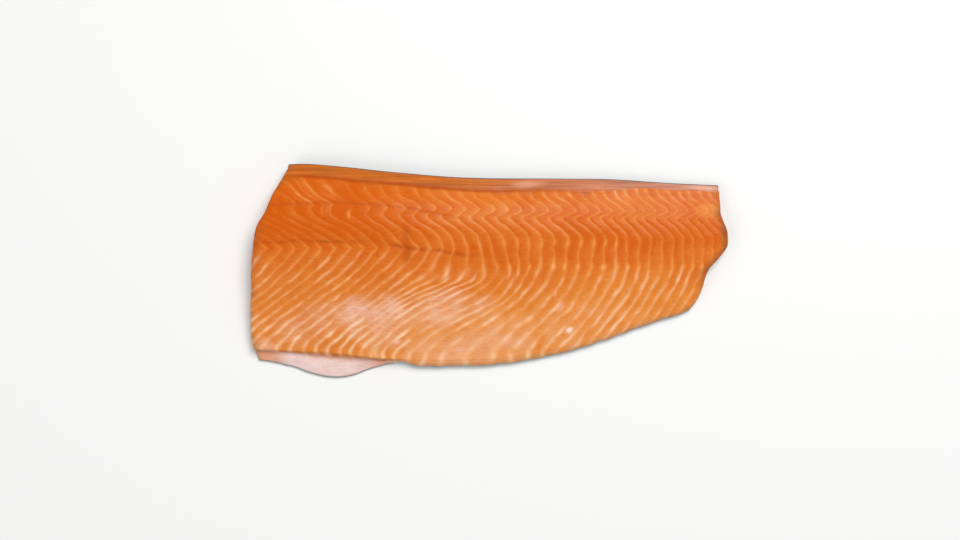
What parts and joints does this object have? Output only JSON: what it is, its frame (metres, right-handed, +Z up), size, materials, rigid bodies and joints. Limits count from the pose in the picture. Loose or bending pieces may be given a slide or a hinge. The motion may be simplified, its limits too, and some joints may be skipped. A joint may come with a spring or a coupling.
{
  "type": "raw salmon fillet",
  "caption": "Raw side of salmon lying on its skin: orange flaked flesh with pale fat lines, a strip of back fat, a white belly flap and knife-cut ends.",
  "frame": {"origin": "under the middle of the fillet, on the surface it lies on", "axes": "+X from the head end to the tail end, +Y from the belly to the back, +Z up out of the flesh side"},
  "size_m": [0.3751, 0.167, 0.0288],
  "materials": {
    "flesh": "moist",
    "skin": "moist silver scales"
  },
  "bodies": {
    "root": {"fillet": "flesh"}
  },
  "joints": []
}
